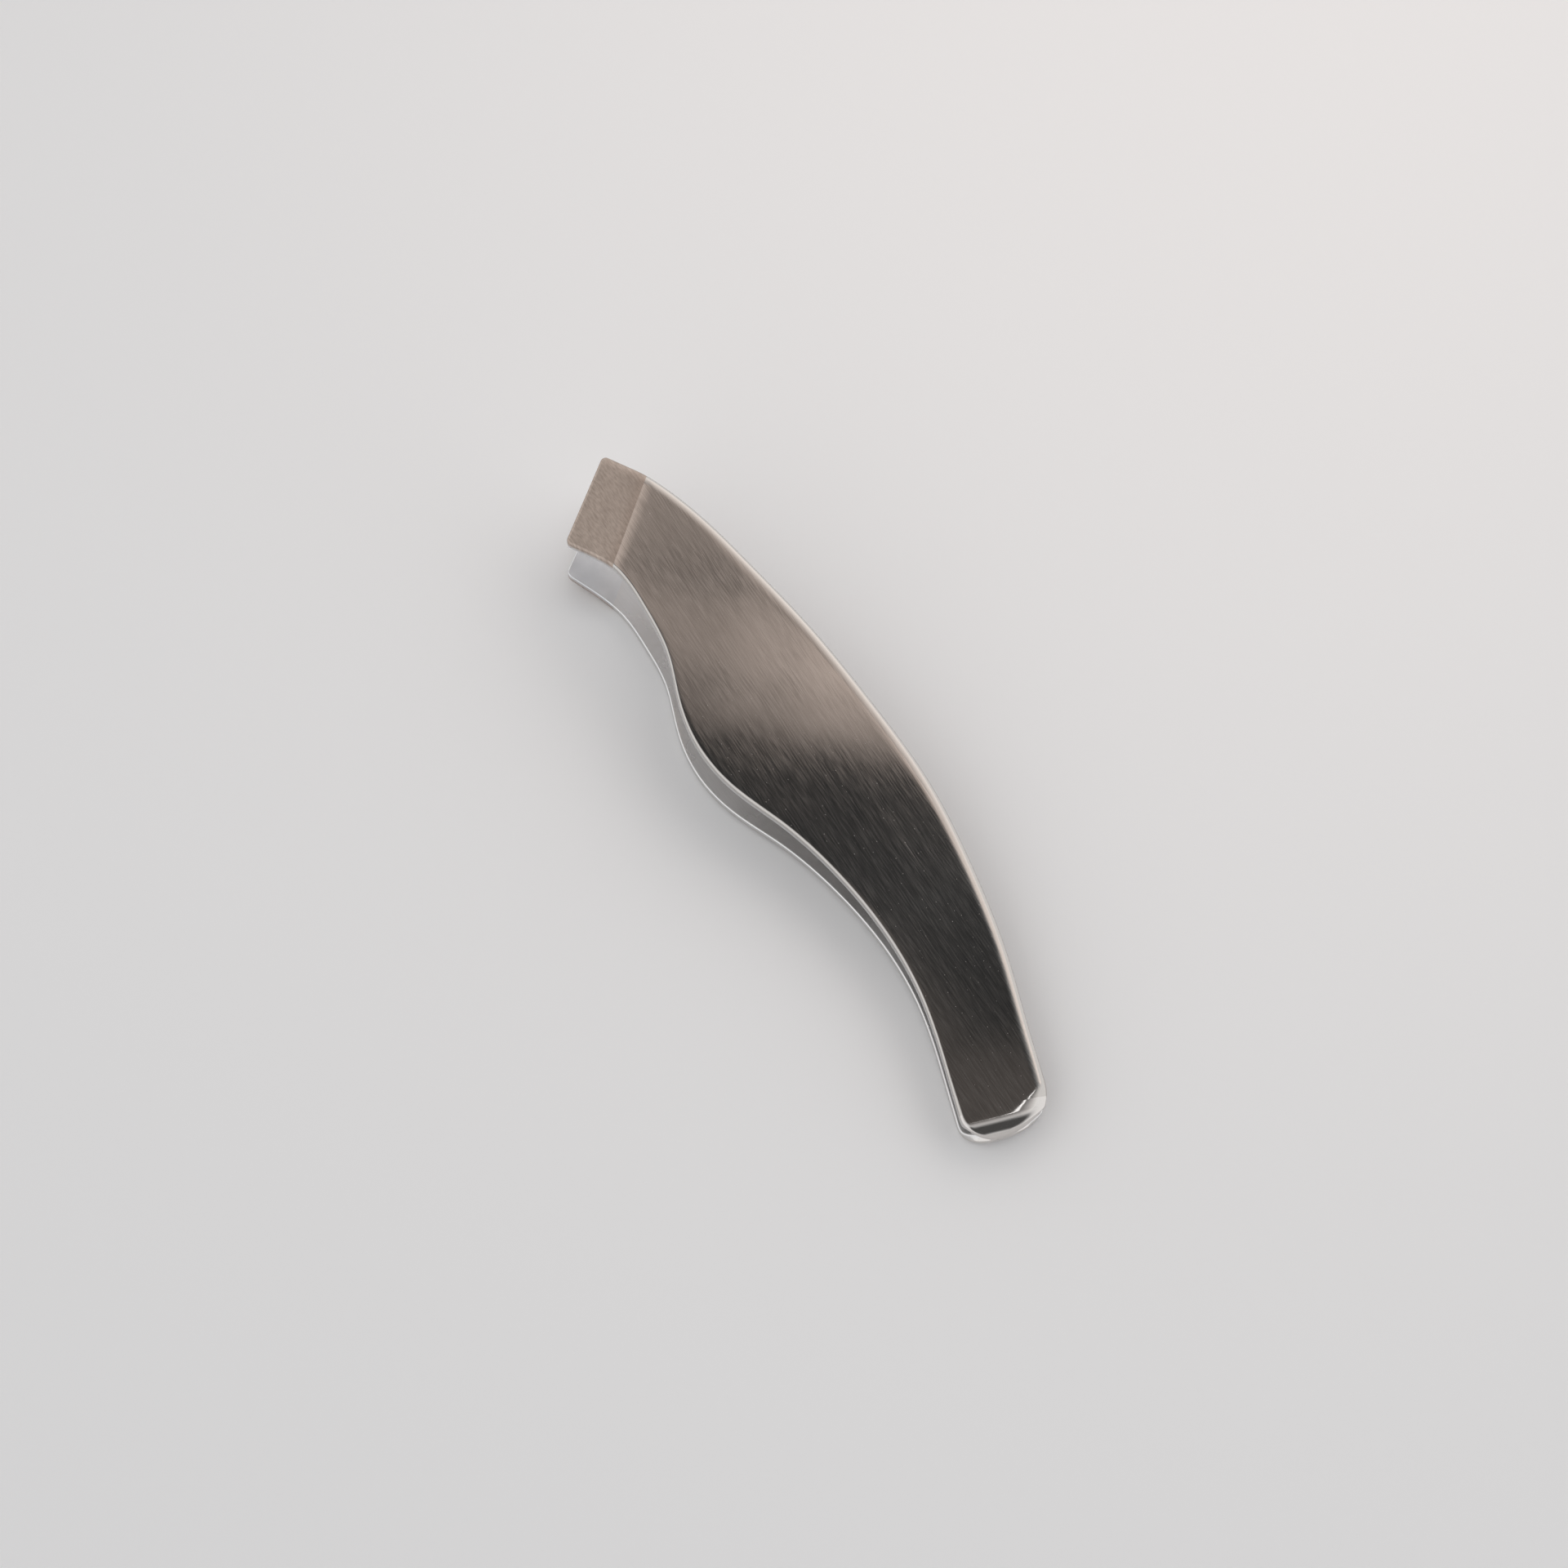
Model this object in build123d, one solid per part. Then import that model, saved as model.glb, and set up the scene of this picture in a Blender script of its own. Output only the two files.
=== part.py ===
from build123d import *
from math import asin, atan2, cos, degrees, hypot, pi, radians, sin, tan
import os

# Spring tongs for pulling bones and serving thin slices: one strip of stainless sheet,
# folded in two at the tail, opening forwards into two curved arms whose ends are creased inwards.
# They are drawn about the plane midway between the arms, with the tail at zero,
# +X towards the tips and +Y towards the hollow side, and are then laid down on the lower arm.

# Sheet and fold
sheet_thickness = 1.8
fold_radius = 3.2
edge_radius = 0.5
fold_sections = 13

# Outline seen from above
tongs_length = 136.2
side_reach = 47.1
heel_width = 15.6
heel_straight = 14.0

# Flare: the arms are parallel along the heel, then bend apart about a slightly turned line,
# so that both ends of the tips have the same way to go and meet together
flare_start = 16.5
flare_length = 24.0
arm_slope = 3.55
flare_turn = 21.0

# Jaws: the ends of the arms beyond a slanting crease
jaw_bend = 14.0
jaw_depth_near = 9.8
jaw_depth_far = 9.1
tip_near_x = 121.2
tip_far_y = 36.7
tip_corner_radius = 1.0

# Stock that is trimmed away reaches past the outline by the overrun; closer than touching is on it
overrun = 20.0
touching = 0.01

# Rounded corners of the tail: shares of the heel's width
tail_corner_near_share = 0.29
tail_corner_far_share = 0.45

# Both long edges, from the heel to the tips: shares of the length and of the side reach
hollow_edge_shares = [
    (0.199, 0.181),
    (0.280, 0.238),
    (0.375, 0.360),
    (0.449, 0.498),
    (0.508, 0.634),
    (0.574, 0.724),
    (0.640, 0.747),
    (0.706, 0.743),
    (0.765, 0.777),
    (0.832, 0.849),
]
bulging_edge_shares = [
    (0.228, -0.169),
    (0.346, -0.137),
    (0.464, -0.071),
    (0.581, 0.050),
    (0.699, 0.196),
    (0.801, 0.351),
    (0.879, 0.481),
    (0.944, 0.623),
]

# The tail's corner radii
tail_corner_near_radius = heel_width * tail_corner_near_share
tail_corner_far_radius = heel_width * tail_corner_far_share

# Seen from above: the corners of the tips, and the ends of the crease behind them
tip_near = Vector(tip_near_x, side_reach)
tip_far = Vector(tongs_length, tip_far_y)
tip_edge = (tip_far - tip_near).normalized()
away_from_heel = Vector(-tip_edge.Y, tip_edge.X)
crease_near = tip_near - away_from_heel * jaw_depth_near
crease_far = tip_far - away_from_heel * jaw_depth_far

# The flare is an arc on the outer face; past its end the arm is flat
slope = radians(arm_slope)
turn = radians(flare_turn)
flare_radius = flare_length / slope
flare_end = flare_start + flare_radius * sin(slope)
flare_rise = flare_radius * (1 - cos(slope))


def on_outer_face(place):
    """The point of the upper arm's flat outer face that lies above a place seen from above."""
    along = place.X * cos(turn) + place.Y * sin(turn)
    return Vector(place.X, place.Y, fold_radius + flare_rise + (along - flare_end) * tan(slope))


def edge_points(shares):
    """Places along one long edge."""
    return [Vector(along * tongs_length, across * side_reach) for along, across in shares]


def outline_prism():
    """The outline seen from above: a tall prism that trims every stretch, and its border."""
    half_heel = heel_width / 2
    tail_near = Vector(0, half_heel)
    tail_far = Vector(0, -half_heel)
    heel_near = Vector(heel_straight, half_heel)
    heel_far = Vector(heel_straight, -half_heel)
    hollow = [heel_near, *edge_points(hollow_edge_shares), tip_near]
    bulging = [heel_far, *edge_points(bulging_edge_shares), tip_far]
    border = [
        Line(tail_far, tail_near),
        Line(tail_near, heel_near),
        Spline(hollow, tangents=[(1, 0), tip_near - hollow[-2]]),
        Line(tip_near, tip_far),
        Spline(bulging, tangents=[(1, 0), tip_far - bulging[-2]]),
        Line(heel_far, tail_far),
    ]
    outline = Sketch() + make_face(border)
    corners = [
        (tail_near, tail_corner_near_radius),
        (tail_far, tail_corner_far_radius),
        (tip_near, tip_corner_radius),
        (tip_far, tip_corner_radius),
    ]
    for corner, radius in corners:
        outline = fillet(outline.vertices().sort_by_distance(corner)[0], radius=radius)
    return extrude(outline, amount=tongs_length, both=True), outline.face().outer_wire()


def arm_stock():
    """The upper arm before trimming: its side view, drawn from behind the tail, right across."""
    heel_start = Vector(-overrun, fold_radius)
    flare_foot = Vector(flare_start, fold_radius)
    thickness = Vector(0, sheet_thickness)
    outer_flare = JernArc(flare_foot, (1, 0), flare_radius, arm_slope)
    inner_flare = JernArc(flare_foot - thickness, (1, 0), flare_radius + sheet_thickness, arm_slope)
    run = tongs_length + overrun
    outer_arm = Line(outer_flare @ 1, (outer_flare @ 1) + (outer_flare % 1) * run)
    inner_arm = Line(inner_flare @ 1, (inner_flare @ 1) + (inner_flare % 1) * run)
    side_view = make_face([
        Line(heel_start, flare_foot),
        outer_flare,
        outer_arm,
        Line(outer_arm @ 1, inner_arm @ 1),
        inner_arm,
        inner_flare,
        Line(flare_foot - thickness, heel_start - thickness),
        Line(heel_start - thickness, heel_start),
    ])
    return Rot(0, 0, flare_turn) * extrude(Plane.XZ * side_view, amount=tongs_length, both=True)


def crease_planes():
    """The jaw's outer plane, and the plane that parts the arm from the jaw along the crease."""
    near = on_outer_face(crease_near)
    along = (on_outer_face(crease_far) - near).normalized()
    arm_normal = Vector(-sin(slope) * cos(turn), -sin(slope) * sin(turn), cos(slope))
    arm_forward = arm_normal.cross(along)
    bend = radians(jaw_bend)
    jaw_forward = arm_forward * cos(bend) - arm_normal * sin(bend)
    jaw_normal = arm_normal * cos(bend) + arm_forward * sin(bend)
    jaw_plane = Plane(origin=near, x_dir=along, z_dir=jaw_normal)
    parting_plane = Plane(origin=near, x_dir=along, z_dir=arm_forward + jaw_forward)
    return jaw_plane, parting_plane


def jaw_stock(jaw_plane):
    """The upper jaw before trimming: a flat slab just inside the jaw's outer plane."""
    crease_length = (crease_far - crease_near).length
    slab = Box(
        crease_length + 2 * overrun,
        jaw_depth_near + 2 * overrun,
        sheet_thickness,
        align=(Align.MIN, Align.MIN, Align.MAX),
    )
    return jaw_plane * Pos(-overrun, -overrun, 0) * slab


def heel_reach(corner_radius, behind):
    """How far the heel reaches to one side, at a place behind the tail where its corner turns."""
    into_corner = max(corner_radius - behind, 0)
    return heel_width / 2 - corner_radius + (corner_radius**2 - into_corner**2) ** 0.5


def folded_bend():
    """The fold: the rounded section of the sheet carried through half a turn, narrowest astern."""
    middle_radius = fold_radius - sheet_thickness / 2
    sections = []
    for step in range(fold_sections):
        angle = pi * step / (fold_sections - 1)
        outwards = Vector(-sin(angle), 0, cos(angle))
        onwards = Vector(-cos(angle), 0, -sin(angle))
        behind = fold_radius * (1 - sin(angle))
        near = heel_reach(tail_corner_near_radius, behind)
        far = heel_reach(tail_corner_far_radius, behind)
        centre = Vector(fold_radius, (near - far) / 2) + outwards * middle_radius
        plane = Plane(origin=centre, x_dir=(0, 1, 0), z_dir=onwards)
        sections.append(plane * RectangleRounded(near + far, sheet_thickness, edge_radius))
    return loft(sections)


def soften(piece, border):
    """Round the rims that follow the outline, and leave sharp what meets the next stretch."""
    rims = ShapeList()
    for edge in piece.edges():
        middle = edge @ 0.5
        upright = edge.geom_type == GeomType.LINE and abs((edge % 0.5).Z) > abs((edge % 0.5).X)
        if border.distance_to(Vertex(middle.X, middle.Y)) < touching and not upright:
            rims.append(edge)
    return fillet(rims, radius=edge_radius)


def resting_tilt():
    """The turn, in degrees, that lays the fold and the lower crease on one level."""
    tilts = []
    for end in (on_outer_face(crease_near), on_outer_face(crease_far)):
        reach = end.X - fold_radius
        tilts.append(atan2(end.Z, reach) - asin(fold_radius / hypot(reach, end.Z)))
    return degrees(max(tilts))


def lay_down(upper_pieces, fold):
    """Mirror the upper pieces for the lower ones, lie the whole down and centre it."""
    lower_pieces = [mirror(piece, about=Plane.XY) for piece in upper_pieces]
    place = Rot(0, -resting_tilt(), 0) * Pos(-fold_radius, 0, 0)
    laid = [place * piece for piece in [*upper_pieces, *lower_pieces, fold]]
    bounds = Compound(children=[piece.solid() for piece in laid]).bounding_box()
    centre = Pos(-bounds.center().X, -bounds.center().Y, -bounds.min.Z)
    print("fold's centre line at", centre.position)
    return [centre * piece for piece in laid]


outline, border = outline_prism()
jaw_plane, parting_plane = crease_planes()
behind_crease = split(arm_stock() & outline, bisect_by=parting_plane, keep=Keep.BOTTOM)
upper_arm = split(behind_crease, bisect_by=Plane.YZ.offset(fold_radius), keep=Keep.TOP)
upper_jaw = split(jaw_stock(jaw_plane) & outline, bisect_by=parting_plane, keep=Keep.TOP)
spring_bend = folded_bend()

upper_pieces = [soften(upper_arm, border), soften(upper_jaw, border)]
names = ["upper_arm", "upper_jaw", "lower_arm", "lower_jaw", "spring_bend"]
os.makedirs("parts", exist_ok=True)
for name, piece in zip(names, lay_down(upper_pieces, spring_bend)):
    export_step(piece, f"parts/{name}.step")
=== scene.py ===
from math import asin, atan2, cos, hypot, pi, radians, sin, tan

import bpy
import numpy as np
from mathutils import Matrix, Vector


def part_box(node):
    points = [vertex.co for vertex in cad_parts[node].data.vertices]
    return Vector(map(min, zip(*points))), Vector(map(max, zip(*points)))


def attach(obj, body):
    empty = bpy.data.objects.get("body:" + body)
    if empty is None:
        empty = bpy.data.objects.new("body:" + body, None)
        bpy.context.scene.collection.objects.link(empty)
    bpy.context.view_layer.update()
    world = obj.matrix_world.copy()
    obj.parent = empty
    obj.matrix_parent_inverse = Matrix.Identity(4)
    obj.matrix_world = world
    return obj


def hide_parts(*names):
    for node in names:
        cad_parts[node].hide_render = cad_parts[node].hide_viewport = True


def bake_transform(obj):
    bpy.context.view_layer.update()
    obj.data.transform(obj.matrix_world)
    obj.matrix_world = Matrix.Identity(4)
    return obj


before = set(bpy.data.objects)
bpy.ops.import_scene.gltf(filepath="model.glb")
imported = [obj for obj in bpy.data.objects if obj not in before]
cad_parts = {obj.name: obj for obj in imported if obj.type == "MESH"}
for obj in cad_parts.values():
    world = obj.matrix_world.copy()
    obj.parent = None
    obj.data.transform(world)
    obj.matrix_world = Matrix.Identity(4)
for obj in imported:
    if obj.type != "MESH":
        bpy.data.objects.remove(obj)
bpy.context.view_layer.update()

# Spring tongs folded from one strip of stainless sheet: brushed arms, matt jaws, polished fold.
# The strip is drawn as the CAD draws it, about the plane midway between the arms, with the tail
# at zero, +X towards the tips and +Y towards the hollow side, and is then laid down with it.
mm = 0.001

# Sheet and fold
sheet_thickness = 1.8 * mm
fold_radius = 3.2 * mm
middle_radius = fold_radius - sheet_thickness / 2

# Outline seen from above
tongs_length = 136.2 * mm
side_reach = 47.1 * mm
heel_width = 15.6 * mm
heel_straight = 14.0 * mm
tail_corner_near_radius = 0.29 * heel_width
tail_corner_far_radius = 0.45 * heel_width
tip_near_x = 121.2 * mm
tip_far_y = 36.7 * mm
tip_corner_radius = 1.0 * mm

# Both long edges, from the heel to the tips: shares of the length and of the side reach
hollow_edge_shares = [
    (0.199, 0.181),
    (0.280, 0.238),
    (0.375, 0.360),
    (0.449, 0.498),
    (0.508, 0.634),
    (0.574, 0.724),
    (0.640, 0.747),
    (0.706, 0.743),
    (0.765, 0.777),
    (0.832, 0.849),
]
bulging_edge_shares = [
    (0.228, -0.169),
    (0.346, -0.137),
    (0.464, -0.071),
    (0.581, 0.050),
    (0.699, 0.196),
    (0.801, 0.351),
    (0.879, 0.481),
    (0.944, 0.623),
]

# Allowances that keep the skins inside the solids' box
tip_shortening = 0.16 * mm
side_allowance = 0.001 * mm

# Flare and crease
flare_start = 16.5 * mm
flare_length = 24.0 * mm
arm_slope = radians(3.55)
flare_turn = radians(21.0)
jaw_bend = radians(14.0)
jaw_depth_near = 9.8 * mm
jaw_depth_far = 9.1 * mm
crease_softness = 2.0 * mm

# How far each rim is rounded: across the face, and down the wall
crisp_rim = (0.5 * mm, 0.5 * mm)
soft_rim = (2.1 * mm, 0.7 * mm)
fold_rim_near = (0.8 * mm, 0.7 * mm)
fold_rim_far = (2.0 * mm, 1.0 * mm)
inner_rim = (0.3 * mm, 0.3 * mm)

# The fold's skin goes on this far into the arm
seam_past_fold = 1.2 * mm

# The far corner of the tail falls away past a bowed line: where it starts by the hollow side,
# its direction there, how fast it bows towards the tips, how fast the fall steepens along it,
# how softly it starts and rounds on, how far it goes on down the fold before it fades, and
# how deep a rim's own roll has to be to leave nothing of it
slant_start = np.array([3.3, 3.0]) * mm
slant_along = np.array([0.05, -0.9987])
slant_bow = 0.03 / mm
slant_steepening = 0.0021 / mm**2
slant_softness = 0.7 * mm
slant_rounding = 2.5 * mm
slant_in_fold = 1.5 * mm
deepest_fall = 1.35 * mm

# Where the buffing of the fold and the rims gives way to the brushed face
buffed_drop = 0.1 * mm
buffing_start = 3.6 * mm
buffing_fade = 1.2 * mm

# How finely the strip is drawn: across it, along it, and along each span of an edge's curve
rim_steps = 10
inside_steps = 30
fold_rows = 40
heel_rows = 28
arm_rows = 150
crease_rows = 16
jaw_rows = 24
tip_rows = 12
span_steps = 60

# The crease is drawn finely this many softnesses to either side of it
crease_margin = 1.3

# Rims are widened where the rows cross them at a slant, by no more than one over this
least_sine = 0.5

# The way the sheet was brushed before it was cut, from the tail's centre to the tips' centre
grain_heading = radians(18.2)
along_grain = np.array([cos(grain_heading), sin(grain_heading)])
across_grain = np.array([-sin(grain_heading), cos(grain_heading)])


def unit(vector):
    """The direction of a vector, or of each row of an array."""
    return vector / np.linalg.norm(vector, axis=-1, keepdims=True)


tip_near = np.array([tip_near_x, side_reach])
tip_far = np.array([tongs_length, tip_far_y])
tip_edge = unit(tip_far - tip_near)
away_from_heel = np.array([-tip_edge[1], tip_edge[0]])
crease_near = tip_near - away_from_heel * jaw_depth_near
crease_far = tip_far - away_from_heel * jaw_depth_far
crease_edge = unit(crease_far - crease_near)
past_crease = np.array([-crease_edge[1], crease_edge[0]])

flare_radius = flare_length / arm_slope
flare_end = flare_start + flare_radius * sin(arm_slope)


def arm_height(x, y):
    """The outer face's height above the middle plane, without the crease."""
    along = x * cos(flare_turn) + y * sin(flare_turn)
    in_flare = np.clip(along - flare_start, 0, flare_end - flare_start)
    rise = flare_radius - np.sqrt(flare_radius**2 - in_flare**2)
    return fold_radius + rise + np.maximum(along - flare_end, 0) * tan(arm_slope)


def crease_drop_rate():
    """How fast the jaw falls away below the arm's plane, going square to the crease."""
    ends = []
    for place in (crease_near, crease_far):
        ends.append(np.array([place[0], place[1], arm_height(*place)]))
    along = unit(ends[1] - ends[0])
    sideways = sin(arm_slope)
    normal = np.array([-sideways * cos(flare_turn), -sideways * sin(flare_turn), cos(arm_slope)])
    forward = np.cross(normal, along)
    jaw_normal = normal * cos(jaw_bend) + forward * sin(jaw_bend)
    arm_gradient = -normal[:2] / normal[2]
    jaw_gradient = -jaw_normal[:2] / jaw_normal[2]
    return float((arm_gradient - jaw_gradient) @ past_crease)


drop_rate = crease_drop_rate()


def outer_height(x, y):
    """The outer face's height, with the crease bent over a short soft stretch."""
    past = (x - crease_near[0]) * past_crease[0] + (y - crease_near[1]) * past_crease[1]
    bending = np.clip(past + crease_softness, 0, 2 * crease_softness)
    straight = np.maximum(past - crease_softness, 0)
    return arm_height(x, y) - drop_rate * (bending**2 / (4 * crease_softness) + straight)


def smooth_line(points, start, end):
    """Close-set places on the cubic spline through a few points, with a direction at each end."""
    knots = np.array(points, float)
    spans = np.linalg.norm(np.diff(knots, axis=0), axis=1)
    count = len(knots)
    system = np.eye(count)
    known = np.zeros((count, 2))
    known[0] = unit(np.array(start, float))
    known[-1] = unit(np.array(end, float))
    for i in range(1, count - 1):
        before, after = spans[i - 1], spans[i]
        system[i, i - 1:i + 2] = after, 2 * (before + after), before
        slope_before = (knots[i] - knots[i - 1]) * after / before
        slope_after = (knots[i + 1] - knots[i]) * before / after
        known[i] = 3 * (slope_before + slope_after)
    tangents = np.linalg.solve(system, known)
    places = []
    for i, span in enumerate(spans):
        start_pull, end_pull = span * tangents[i], span * tangents[i + 1]
        for t in np.linspace(0, 1, span_steps, endpoint=False):
            start_part = (1 + 2 * t) * (1 - t) ** 2 * knots[i] + t * (1 - t) ** 2 * start_pull
            end_part = t**2 * (3 - 2 * t) * knots[i + 1] + t**2 * (t - 1) * end_pull
            places.append(start_part + end_part)
    return np.array([*places, knots[-1]])


def long_edge(side, shares, tip):
    """Both long edges the same way: from the start of the curve to the tips."""
    curve = [(x * tongs_length, y * side_reach) for x, y in shares]
    points = [(heel_straight, side * heel_width / 2), *curve, tuple(tip)]
    return smooth_line(points, (1, 0), tip - np.array(curve[-1]))


hollow_edge = long_edge(1, hollow_edge_shares, tip_near)
bulging_edge = long_edge(-1, bulging_edge_shares, tip_far)


def jaw_share(places):
    """0 on the crease, 1 on the tips' edge, and even between them."""
    past = (places - crease_near) @ past_crease
    left = (tip_near - places) @ away_from_heel
    return past / (past + left)


def travelled(edge):
    """How far along an edge each of its places is."""
    return np.concatenate([[0], np.cumsum(np.linalg.norm(np.diff(edge, axis=0), axis=1))])


def pick(edge, measure, wanted):
    """The places on an edge where a measure that grows along it has the wanted values."""
    return np.column_stack([np.interp(wanted, measure, edge[:, axis]) for axis in (0, 1)])


def corner_gap(distance, radius):
    """How far a rounded corner draws an edge in, at a distance from the edge it turns into."""
    into_corner = np.maximum(radius - distance, 0)
    return radius - np.sqrt(radius**2 - into_corner**2)


def heel_reach(corner_radius, behind):
    """How far the heel reaches to one side, at a distance from the tail's end."""
    return heel_width / 2 - corner_gap(behind, corner_radius)


def to_tips(places):
    """How far places are from the tips' edge."""
    return np.maximum((tip_near - places) @ away_from_heel - tip_shortening, 0)


def crowd(count):
    """Shares from 0 to 1 that crowd together towards 0."""
    return 1 - np.cos(np.linspace(0, pi / 2, count))


def stations():
    """Rows across the strip laid out flat, from behind the tail to the tips: the two ends of each
    row, and which rows the arm and the jaw start at."""
    places = [(fold_radius - middle_radius * angle, fold_radius * (1 - sin(angle)))
              for angle in np.linspace(pi / 2, 0, fold_rows, endpoint=False)]
    places += [(x, x) for x in np.linspace(fold_radius, heel_straight, heel_rows, endpoint=False)]
    along, behind = np.array(places).T
    near = np.column_stack([along, heel_reach(tail_corner_near_radius, behind)])
    far = np.column_stack([along, -heel_reach(tail_corner_far_radius, behind)])
    rows = [(near, far)]

    edges = (hollow_edge, bulging_edge)
    shares = [jaw_share(edge) for edge in edges]
    lengths = [travelled(edge) for edge in edges]
    margin = crease_margin * crease_softness / jaw_depth_near
    arm_ends = [np.interp(-margin, share, length) for share, length in zip(shares, lengths)]
    even = np.linspace(0, 1, arm_rows, endpoint=False)
    rows.append([pick(e, s, even * end) for e, s, end in zip(edges, lengths, arm_ends)])

    round_share = tip_corner_radius / jaw_depth_near
    last_share = 1 - tip_shortening / jaw_depth_near
    jaw = np.concatenate([
        np.linspace(0, margin, crease_rows, endpoint=False),
        np.linspace(margin, last_share - round_share, jaw_rows, endpoint=False),
        last_share - round_share * crowd(tip_rows)[::-1],
    ])
    both = np.concatenate([np.linspace(-margin, 0, crease_rows, endpoint=False), jaw])
    rows.append([pick(e, s, both) for e, s in zip(edges, shares)])
    near, far = (np.vstack([row[i] for row in rows]) for i in (0, 1))
    arm_start = int(np.searchsorted(along, fold_radius + seam_past_fold))
    jaw_start = len(near) - len(jaw)
    return near, far, arm_start, jaw_start


def rim(distance, size):
    """How far a face has dropped where it rounds over into a wall."""
    across, down = size
    left = np.clip(1 - distance / across, 0, 1)
    return down * (1 - np.sqrt(1 - left**2))


def slant_drop(flat):
    """How far the far corner of the tail has fallen away, fading out again down the fold."""
    in_fold = np.maximum(fold_radius - flat[..., 0], 0)
    x = np.maximum(flat[..., 0], fold_radius - slant_in_fold)
    from_start = np.stack([x, flat[..., 1]], axis=-1) - slant_start
    along = np.maximum(from_start @ slant_along, 0)
    across = from_start @ np.array([slant_along[1], -slant_along[0]])
    past = np.maximum(across + slant_bow * along**2, 0)
    eased = np.sqrt(past**2 + slant_softness**2) - slant_softness + past**2 / (2 * slant_rounding)
    angle = np.minimum(in_fold / middle_radius, pi / 2)
    return slant_steepening * along**2 * eased * np.cos(angle) ** 2


def mixed(a, b, share):
    """Two rim sizes mixed."""
    return tuple(p + (q - p) * share for p, q in zip(a, b))


def strip():
    """The upper half of the strip as a grid: its outer and inner face, how buffed each place is,
    its place along and across the grain, and which rows the arm and the jaw start at."""
    near, far, arm_start, jaw_start = stations()
    chord = far - near
    width = np.linalg.norm(chord, axis=1, keepdims=True)
    across = chord / width
    sines = []
    for edge in (near, far):
        heading = unit(np.gradient(edge, axis=0))
        sines.append(np.abs(across[:, :1] * heading[:, 1:] - across[:, 1:] * heading[:, :1]))
    gap_near = corner_gap(to_tips(near), tip_corner_radius)[:, None] / sines[0]
    gap_far = corner_gap(to_tips(far), tip_corner_radius)[:, None] / sines[1]
    sines = [np.maximum(s, least_sine) for s in sines]

    tail_share = np.clip((heel_straight - near[:, :1]) / (heel_straight - fold_radius), 0, 1) ** 2
    near_rim = mixed(crisp_rim, fold_rim_near, tail_share)
    far_rim = mixed(soft_rim, fold_rim_far, tail_share)
    left = gap_near + crowd(rim_steps)[None, :] * near_rim[0] / sines[0]
    right = width - gap_far - crowd(rim_steps)[None, ::-1] * far_rim[0] / sines[1]
    inside = np.linspace(0, 1, inside_steps + 2)[None, 1:-1]
    middle = left[:, -1:] + (right[:, :1] - left[:, -1:]) * inside
    place = np.hstack([left, middle, right])
    flat = near[:, None, :] + across[:, None, :] * place[:, :, None]

    from_near = (place - gap_near) * sines[0]
    from_far = (width - gap_far - place) * sines[1]
    from_tips = to_tips(flat)
    outer_drop = np.maximum(rim(from_near, near_rim), rim(from_far, far_rim))
    outer_drop = np.maximum(outer_drop, rim(from_tips, crisp_rim))
    outer_drop = outer_drop + slant_drop(flat) * (1 - outer_drop / deepest_fall)
    from_side = np.minimum(from_near, from_far)
    inner_drop = np.maximum(rim(from_side, inner_rim), rim(from_tips, inner_rim))
    rounding = np.clip(outer_drop / buffed_drop, 0, 1)
    folding = np.clip((buffing_start - flat[..., 0]) / buffing_fade, 0, 1)
    polish = np.maximum(rounding, folding)

    outer = lift(flat, outer_drop)
    inner = lift(flat, sheet_thickness - inner_drop)
    grain_place = np.stack([flat @ along_grain, flat @ across_grain], axis=-1)
    return outer, inner, polish, grain_place, arm_start, jaw_start


def lift(flat, depth):
    """Places on the laid-out strip, some way below its outer face, folded to where they belong."""
    x, y = flat[..., 0], flat[..., 1]
    angle = np.maximum(fold_radius - x, 0) / middle_radius
    radius = fold_radius - depth
    step = 0.01 * mm
    slope_x = (outer_height(x + step, y) - outer_height(x - step, y)) / (2 * step)
    slope_y = (outer_height(x, y + step) - outer_height(x, y - step)) / (2 * step)
    upright = depth * np.sqrt(1 + slope_x**2 + slope_y**2)
    folded_x = fold_radius - radius * np.sin(angle)
    folded_z = radius * np.cos(angle)
    in_fold = x < fold_radius
    return np.stack([
        np.where(in_fold, folded_x, x),
        y,
        np.where(in_fold, folded_z, outer_height(x, y) - upright),
    ], axis=-1)


def resting_tilt():
    """The turn that lays the fold and the lower crease on one level."""
    tilts = []
    for place in (crease_near, crease_far):
        height = arm_height(*place)
        reach = place[0] - fold_radius
        tilts.append(atan2(height, reach) - asin(fold_radius / hypot(reach, height)))
    return max(tilts)


fold_low, fold_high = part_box("spring_bend")
tail_middle = fold_high.y - heel_reach(tail_corner_near_radius, fold_radius) + side_allowance
fold_centre = Vector((fold_low.x + fold_radius, tail_middle, fold_low.z + fold_radius))
lay_down = (
    Matrix.Translation(fold_centre)
    @ Matrix.Rotation(-resting_tilt(), 4, "Y")
    @ Matrix.Translation((-fold_radius, 0, 0))
)


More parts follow.
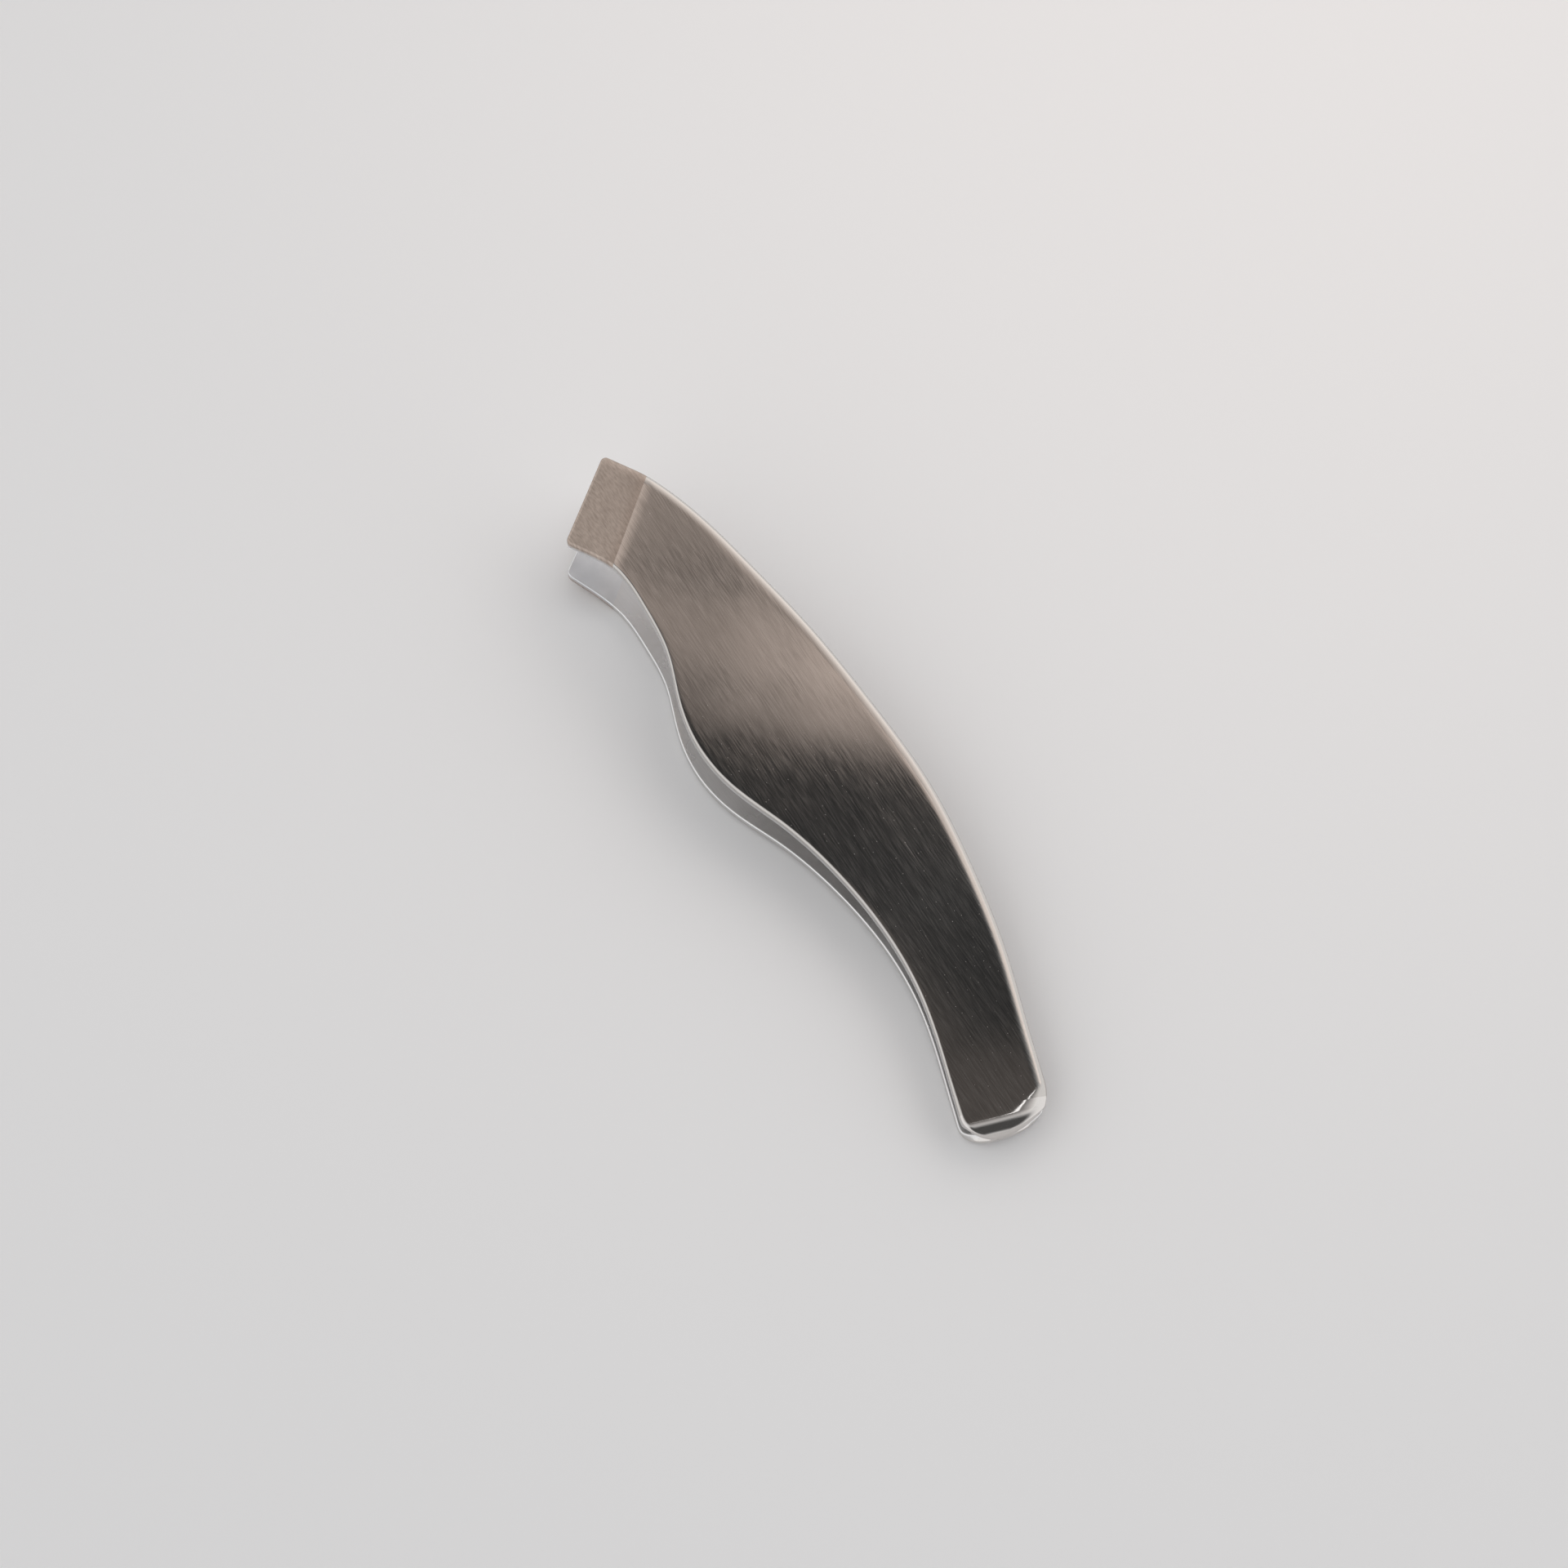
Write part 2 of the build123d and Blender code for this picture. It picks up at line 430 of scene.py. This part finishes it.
def piece(name, grid, rows, below=False):
    """One closed piece of the strip, from a range of its rows; below is its mirrored half."""
    outer, inner, polish, grain_place = (values[rows] for values in grid)
    count, wide = outer.shape[:2]
    ring = np.concatenate([outer, inner[:, ::-1]], axis=1)
    if below:
        ring = ring * (1, 1, -1)
    around = 2 * wide
    faces = []
    for i in range(count - 1):
        here, onwards = i * around, (i + 1) * around
        for j in range(around):
            k = (j + 1) % around
            faces.append((here + j, here + k, onwards + k, onwards + j))
    for i, flip in ((0, True), (count - 1, False)):
        for j in range(wide - 1):
            first, last = i * around + j, (i + 1) * around - 1 - j
            face = (first, first + 1, last - 1, last)
            faces.append(face[::-1] if flip else face)
    if below:
        faces = [face[::-1] for face in faces]
    mesh = bpy.data.meshes.new(name)
    mesh.from_pydata([tuple(p) for p in ring.reshape(-1, 3)], [], faces)
    mesh.transform(lay_down)
    mesh.shade_smooth()
    ends = np.zeros(2 * len(mesh.edges), int)
    mesh.edges.foreach_get("vertices", ends)
    rings = ends.reshape(-1, 2) // around
    on_end = (rings[:, 0] == rings[:, 1]) & np.isin(rings[:, 0], (0, count - 1))
    mesh.edges.foreach_set("use_edge_sharp", on_end)
    none = np.zeros_like(polish)
    for label, outside, inside in (("polish", polish, none), ("inner", none, none + 1)):
        values = np.concatenate([outside, inside], axis=1).ravel().astype(np.float32)
        mesh.attributes.new(label, "FLOAT", "POINT").data.foreach_set("value", values)
    places = np.concatenate([grain_place, grain_place[:, ::-1]], axis=1).reshape(-1, 2)
    corners = np.zeros(len(mesh.loops), int)
    mesh.loops.foreach_get("vertex_index", corners)
    layer = mesh.uv_layers.new(name="grain")
    layer.data.foreach_set("uv", places[corners].ravel().astype(np.float32))
    mesh.update()
    made = bpy.data.objects.new(name, mesh)
    bpy.context.scene.collection.objects.link(made)
    return made


def srgb(red, green, blue):
    """A colour given as it shows on screen, 0 to 255, as the shader's linear colour."""
    return tuple(((value / 255 + 0.055) / 1.055) ** 2.4 for value in (red, green, blue)) + (1.0,)


class Nodes:
    """A material's node tree, with short calls for the nodes used here."""

    def __init__(self, name):
        self.material = bpy.data.materials.new(name)
        self.material.use_nodes = True
        self.tree = self.material.node_tree
        self.shader = self.tree.nodes["Principled BSDF"]

    def add(self, kind, inputs=None, **settings):
        """A node, with its settings, and its inputs linked or set."""
        node = self.tree.nodes.new(kind)
        for key, value in settings.items():
            setattr(node, key, value)
        for key, value in (inputs or {}).items():
            if isinstance(value, bpy.types.NodeSocket):
                self.tree.links.new(value, node.inputs[key])
            else:
                node.inputs[key].default_value = value
        return node

    def maths(self, operation, a, b):
        return self.add("ShaderNodeMath", {0: a, 1: b}, operation=operation).outputs[0]

    def plus(self, a, b):
        return self.maths("ADD", a, b)

    def times(self, a, b):
        return self.maths("MULTIPLY", a, b)

    def spread(self, value, part, onto=(0.0, 1.0)):
        """A part of a value's range laid over a new range, and held at its ends."""
        inputs = {"Value": value, 1: part[0], 2: part[1], 3: onto[0], 4: onto[1]}
        return self.add("ShaderNodeMapRange", inputs).outputs[0]

    def sheet(self):
        """Places on the sheet in metres, along and across its grain."""
        return self.add("ShaderNodeUVMap", uv_map="grain").outputs[0]

    def grain(self, along, across, detail=3.0, turn=0.0):
        """Noise drawn out along the grain: how many streaks to a metre each way."""
        placed = {0: self.sheet(), "Rotation": (0, 0, turn), "Scale": (along, across, 1)}
        return self.noise(self.add("ShaderNodeMapping", placed).outputs[0], 1.0, detail)

    def specks(self, density, radius, share):
        """Small round specks, faint to full: so many cells to a metre, a share of them filled."""
        inputs = {"Vector": self.sheet(), "Scale": density}
        cells = self.add("ShaderNodeTexVoronoi", inputs, voronoi_dimensions="2D")
        reach = radius * density
        spot = self.spread(cells.outputs["Distance"], (0.5 * reach, reach), (1.0, 0.0))
        chance = self.add("ShaderNodeSeparateColor", {0: cells.outputs["Color"]}).outputs[0]
        return self.times(spot, self.spread(chance, (0.0, share), (1.0, 0.0)))

    def clouds(self, scale, detail):
        """Noise that runs no particular way: how many lumps to a metre."""
        return self.noise(self.add("ShaderNodeTexCoord").outputs["Object"], scale, detail)

    def noise(self, where, scale, detail):
        inputs = {"Vector": where, "Scale": scale, "Detail": detail}
        return self.add("ShaderNodeTexNoise", inputs).outputs[0]

    def attribute(self, name):
        return self.add("ShaderNodeAttribute", attribute_name=name).outputs["Fac"]

    def blend(self, share, a, b):
        """Two colours blended."""
        colours = {0: share, 6: a, 7: b}
        return self.add("ShaderNodeMix", colours, data_type="RGBA").outputs[2]

    def between(self, share, a, b):
        """Two numbers blended."""
        numbers = {0: share, 2: a, 3: b}
        return self.add("ShaderNodeMix", numbers, data_type="FLOAT").outputs[0]

    def bump(self, height, strength, distance):
        """Fine relief, into the shader's normal."""
        inputs = {"Height": height, "Strength": strength, "Distance": distance}
        self.join(self.add("ShaderNodeBump", inputs).outputs[0], "Normal")

    def join(self, output, socket):
        """Into one of the shader's own sockets."""
        self.tree.links.new(output, self.shader.inputs[socket])


# Colours: each pair is the darkest and the lightest place in one steel
brushed_colours = (srgb(184, 182, 180), srgb(212, 210, 208))
brushed_haze = srgb(186, 182, 178)
# The brushed steel's inner faces are painted light: lighter than the outer steel, standing in for
# light scattered into the gap between the arms
brushed_inside_painted_light = (srgb(222, 221, 221), srgb(230, 229, 228))
buffed_arm = srgb(198, 194, 190)
buffed_fold = srgb(216, 212, 209)
matt_colours = (srgb(165, 151, 141), srgb(198, 183, 172))
matt_haze = srgb(172, 157, 147)
# The matt steel's inner faces are painted light: much lighter than the outer jaw, standing in for
# light scattered into the gap between the jaws
matt_inside_painted_light = (srgb(220, 221, 223), srgb(230, 231, 233))
floor_colour = srgb(250, 250, 251)

# Roughness: each pair is the smoothest and the roughest place; marks and dust add to it
satin_roughness = (0.08, 0.13)
haze_roughness = (-0.01, 0.015)
rolled_roughness = (0.24, 0.32)
arm_buffing = (0.10, 0.17)
fold_buffing = (0.08, 0.15)
matt_roughness = (0.38, 0.52)
matt_inside_roughness = (0.28, 0.36)
paper_roughness = (0.6, 0.75)
scratch_roughness = 0.06
dust_roughness = 0.3
jaw_dust_roughness = 0.15

# The parts of a noise's range that show: its middle for what is plain to see, and more of it
# for what is faint; of the scratches only the highest
plain_part = (0.38, 0.62)
faint_part = (0.3, 0.7)
sheet_haze_part = (0.35, 0.7)
scratch_part = (0.78, 0.84)
stroke_part = (0.36, 0.62)
jaw_haze_part = (0.4, 0.65)

# How much of its colour the haze gives: at least, and at most
sheet_haze_share = (0.0, 0.3)
jaw_haze_share = (0.0, 0.4)

# Streaks to a metre, along the grain and across it; the scratches' grain is turned a little
fine_streaks = (260, 4200)
coarse_streaks = (45, 800)
scratch_streaks = (60, 2600)
scratch_turn = radians(24)
buffing_swirls = (1600, 150)
jaw_strokes = (700, 3200)

# What runs no particular way: lumps to a metre
sheet_haze_lumps = 70
jaw_haze_lumps = 60
jaw_blotches = 260
jaw_grit = 5000
paper_lumps = 400

# Dust: cells to a metre, a speck's radius, and the share of the cells with a speck
sheet_dust = (700, 0.07 * mm, 0.4)
jaw_dust = (400, 0.12 * mm, 0.3)

# How two noises are mixed
fine_share, coarse_share = 0.75, 0.25
stroke_share, blotch_share = 0.7, 0.3
grit_relief, stroke_relief = 0.5, 0.5
scratch_relief = -0.2

# The anisotropy of the brushing, and its turn in whole turns from the grain
anisotropy = 0.6
anisotropy_turn = 0.25

# The depth of the relief in the brushed and in the matt steel, and how fully it is drawn
grain_depth = 0.002 * mm
grit_depth = 0.012 * mm
relief_strength = 0.5


def sheet_steel(name, buffed_colour, buffing):
    """Satin steel brushed lengthwise, lightly marked, dusty; painted lighter on the inner faces as
    painted light between the arms; buffed on the rims.
    """
    n = Nodes(name)
    fine = n.grain(*fine_streaks)
    coarse = n.grain(*coarse_streaks, detail=2.0)
    crossing = n.grain(*scratch_streaks, detail=0.0, turn=scratch_turn)
    scratches = n.spread(crossing, scratch_part)
    dust = n.specks(*sheet_dust)
    haze = n.clouds(sheet_haze_lumps, detail=3.0)
    tone = n.plus(n.times(fine, fine_share), n.times(coarse, coarse_share))
    buffed = n.attribute("polish")
    inner = n.attribute("inner")

    brushed = n.blend(n.spread(tone, plain_part), *brushed_colours)
    hazy = n.spread(haze, sheet_haze_part, sheet_haze_share)
    brushed = n.blend(hazy, brushed, brushed_haze)
    # Painted light: the inner faces take a lighter colour than the outside, for light scattered
    # between the arms
    bright = n.blend(n.spread(tone, faint_part), *brushed_inside_painted_light)
    n.join(n.blend(inner, n.blend(buffed, brushed, buffed_colour), bright), "Base Color")

    satin = n.spread(tone, plain_part, satin_roughness)
    satin = n.plus(satin, n.spread(haze, sheet_haze_part, haze_roughness))
    marks = n.plus(n.times(scratches, scratch_roughness), n.times(dust, dust_roughness))
    swirls = n.spread(n.grain(*buffing_swirls, detail=2.0), faint_part, buffing)
    rolled = n.spread(haze, sheet_haze_part, rolled_roughness)
    outside = n.between(buffed, n.plus(satin, marks), swirls)
    n.join(n.between(inner, outside, rolled), "Roughness")

    n.shader.inputs["Metallic"].default_value = 1.0
    n.shader.inputs["Anisotropic"].default_value = anisotropy
    n.shader.inputs["Anisotropic Rotation"].default_value = anisotropy_turn
    tangent = n.add("ShaderNodeTangent", direction_type="UV_MAP", uv_map="grain")
    n.join(tangent.outputs[0], "Tangent")
    n.bump(n.plus(tone, n.times(scratches, scratch_relief)), relief_strength, grain_depth)
    return n.material


def matt_steel():
    """Steel with a fine, even grit and short fine strokes, painted lighter on the inner faces as
    painted light between the jaws.
    """
    n = Nodes("matt stainless")
    grit = n.clouds(jaw_grit, detail=4.0)
    blotch = n.clouds(jaw_blotches, detail=3.0)
    haze = n.clouds(jaw_haze_lumps, detail=2.0)
    dust = n.specks(*jaw_dust)
    strokes = n.plus(n.times(n.grain(*jaw_strokes), stroke_share), n.times(blotch, blotch_share))
    inner = n.attribute("inner")

    matt = n.blend(n.spread(strokes, stroke_part), *matt_colours)
    matt = n.blend(n.spread(haze, jaw_haze_part, jaw_haze_share), matt, matt_haze)
    # Painted light: the inner faces take a lighter colour than the outside, for light scattered
    # between the jaws
    bright = n.blend(n.spread(blotch, faint_part), *matt_inside_painted_light)
    n.join(n.blend(inner, matt, bright), "Base Color")

    rough = n.spread(grit, faint_part, matt_roughness)
    rough = n.plus(rough, n.times(dust, jaw_dust_roughness))
    rolled = n.spread(blotch, faint_part, matt_inside_roughness)
    n.join(n.between(inner, rough, rolled), "Roughness")

    n.shader.inputs["Metallic"].default_value = 1.0
    relief = n.plus(n.times(grit, grit_relief), n.times(strokes, stroke_relief))
    n.bump(relief, relief_strength, grit_depth)
    return n.material


def build_tongs():
    """Every visible piece, on the body that carries it."""
    *grid, arm_start, jaw_start = strip()
    brushed = sheet_steel("brushed stainless", buffed_arm, arm_buffing)
    polished = sheet_steel("polished stainless", buffed_fold, fold_buffing)
    matt = matt_steel()
    rows = len(grid[0])
    for half, below in (("upper", False), ("lower", True)):
        arm = piece(f"{half}_arm_skin", grid, slice(arm_start, jaw_start + 1), below)
        arm.data.materials.append(brushed)
        jaw = piece(f"{half}_jaw_skin", grid, slice(jaw_start, rows), below)
        jaw.data.materials.append(matt)
        for made, node, slot in ((arm, "arm", "brushed_arm"), (jaw, "jaw", "matt_jaw")):
            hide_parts(f"{half}_{node}")
            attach(made, half)
        bend = piece(f"{half}_half_of_fold", grid, slice(0, arm_start + 1), below)
        bend.data.materials.append(polished)
        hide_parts("spring_bend")
        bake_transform(bend)


# The floor's reach each way, in metres
floor_reach = 3.0


def floor():
    """A plain pale floor under the tongs."""
    mesh = bpy.data.meshes.new("floor")
    low, high = -floor_reach, floor_reach
    corners = [(low, low, 0), (high, low, 0), (high, high, 0), (low, high, 0)]
    mesh.from_pydata(corners, [], [(0, 1, 2, 3)])
    made = bpy.data.objects.new("floor", mesh)
    bpy.context.scene.collection.objects.link(made)
    n = Nodes("pale paper")
    n.shader.inputs["Base Color"].default_value = floor_colour
    lumps = n.clouds(paper_lumps, detail=4.0)
    n.join(n.spread(lumps, faint_part, paper_roughness), "Roughness")
    mesh.materials.append(n.material)


# The camera, from the photograph: how it looks at the middle of the picture, and from how far
camera_distance = 564.9 * mm
camera_drop = radians(64.16)
camera_roll = radians(4.46)
length_heading = radians(108.90)
aim = Vector((5.33, -0.11, 0)) * mm
sensor_width = 36.0
lens = 74.1


def camera():
    """The photograph's camera, in the tongs' frame."""
    along = Vector((cos(length_heading), sin(length_heading)))
    across = Vector((-sin(length_heading), cos(length_heading)))
    picture_right = Vector((along.x, across.x, 0))
    picture_away = Vector((along.y, across.y, 0))
    forward = picture_away * cos(camera_drop) - Vector((0, 0, sin(camera_drop)))
    up = picture_right.cross(forward)
    upright = Matrix((picture_right, up, -forward)).transposed().to_4x4()
    turned = upright @ Matrix.Rotation(camera_roll, 4, "Z")
    data = bpy.data.cameras.new("camera")
    data.sensor_width = sensor_width
    data.lens = lens
    made = bpy.data.objects.new("camera", data)
    bpy.context.scene.collection.objects.link(made)
    made.matrix_world = Matrix.Translation(aim - forward * camera_distance) @ turned
    bpy.context.scene.camera = made


def lamp(name, size, level, tint, place, turn):
    """A soft lamp with an evenly lit face; the level is how bright the face looks."""
    data = bpy.data.lights.new(name, "AREA")
    data.shape = "RECTANGLE"
    data.size, data.size_y = size
    data.energy = level * pi * size[0] * size[1]
    data.color = tint
    made = bpy.data.objects.new(name, data)
    bpy.context.scene.collection.objects.link(made)
    made.matrix_world = Matrix.Translation(place) @ turn.to_4x4()
    made.visible_camera = False


# Overhead soft boxes, each a step above the last: the height of the lowest, the way their rear
# edges run, and the place that they are measured from. Each has its reach forwards, its reach
# sideways and its level
box_height = 250 * mm
box_step = 1 * mm
box_heading = radians(68)
box_edge = Vector((63, -49, 0)) * mm
box_tint = (1.0, 0.83, 0.73)
soft_boxes = [
    ("front box", (-2 * mm, 420 * mm), (-240 * mm, 120 * mm), 0.22),
    ("near box", (2 * mm, 420 * mm), (-240 * mm, 18 * mm), 0.13),
    ("bright strip", (14 * mm, 32 * mm), (-240 * mm, 120 * mm), 0.18),
    ("far strip", (2 * mm, 38 * mm), (-240 * mm, -1 * mm), 0.17),
    ("tips box", (44 * mm, 420 * mm), (-240 * mm, 120 * mm), 0.12),
    ("crease glow", (20 * mm, 110 * mm), (44 * mm, 116 * mm), 0.06),
    ("crease shine", (20 * mm, 110 * mm), (58 * mm, 116 * mm), 0.08),
    ("crease gleam", (20 * mm, 110 * mm), (74 * mm, 116 * mm), 0.10),
    ("crease glint", (20 * mm, 110 * mm), (90 * mm, 116 * mm), 0.12),
    ("tail box", (-180 * mm, -46 * mm), (-240 * mm, 260 * mm), 0.05),
    ("heel box", (-180 * mm, -42 * mm), (-240 * mm, 260 * mm), 0.02),
]

# A small lamp that lights up the far corner of the tail
glint_place = Vector((-12, -140, 490)) * mm
glint_target = Vector((-62, -22, 6)) * mm
glint_size = (28 * mm, 40 * mm)
glint_level = 2.2
plain_tint = (1.0, 1.0, 1.0)

# The room: bright all round, dark where the flat faces look and behind the camera. Each part has
# its direction, and its level by how nearly one looks that way, 1 being straight at it
room_ceiling = (0.28, -0.10, 0.955)
ceiling_levels = [
    (0.0, 1.0),
    (0.70, 0.95),
    (0.86, 0.65),
    (0.93, 0.35),
    (0.97, 0.12),
    (0.985, 0.05),
    (0.995, 0.04),
]
room_back = (-0.80, -0.10, 0.59)
back_levels = [(0.0, 1.0), (0.70, 1.0), (0.82, 0.75), (0.88, 0.30), (0.93, 0.08)]
room_strength = 1.05


def facing_levels(tree, where, direction, levels):
    """A level for each direction, by how nearly it points a given way."""
    facing = tree.nodes.new("ShaderNodeVectorMath")
    facing.operation = "DOT_PRODUCT"
    facing.inputs[1].default_value = Vector(direction).normalized()
    ramp = tree.nodes.new("ShaderNodeValToRGB")
    stops = ramp.color_ramp.elements
    for place, _ in levels[2:]:
        stops.new(place)
    for stop, (place, level) in zip(stops, levels):
        stop.position = place
        stop.color = (level, level, level, 1)
    tree.links.new(where.outputs["Generated"], facing.inputs[0])
    tree.links.new(facing.outputs["Value"], ramp.inputs[0])
    return ramp.outputs[0]


def studio():
    """Soft boxes overhead, a small lamp for the tail's corner, and a room with dark places."""
    onwards = Vector((sin(box_heading), -cos(box_heading), 0))
    sideways = Vector((cos(box_heading), sin(box_heading), 0))
    facing_down = Matrix((onwards, sideways, Vector((0, 0, 1)))).transposed()
    for count, (name, (back, front), (right, left), level) in enumerate(soft_boxes):
        middle = box_edge + onwards * (back + front) / 2 + sideways * (right + left) / 2
        middle.z = box_height + count * box_step
        lamp(name, (front - back, left - right), level, box_tint, middle, facing_down)
    towards = (glint_place - glint_target).to_track_quat("Z", "Y").to_matrix()
    lamp("tail glint", glint_size, glint_level, plain_tint, glint_place, towards)

    world = bpy.data.worlds.new("studio")
    bpy.context.scene.world = world
    world.use_nodes = True
    tree = world.node_tree
    where = tree.nodes.new("ShaderNodeTexCoord")
    room = tree.nodes.new("ShaderNodeVectorMath")
    room.operation = "MULTIPLY"
    tree.links.new(facing_levels(tree, where, room_ceiling, ceiling_levels), room.inputs[0])
    tree.links.new(facing_levels(tree, where, room_back, back_levels), room.inputs[1])
    background = tree.nodes["Background"]
    tree.links.new(room.outputs[0], background.inputs["Color"])
    background.inputs["Strength"].default_value = room_strength


build_tongs()
floor()
camera()
studio()

bpy.context.scene.view_settings.view_transform = "Standard"
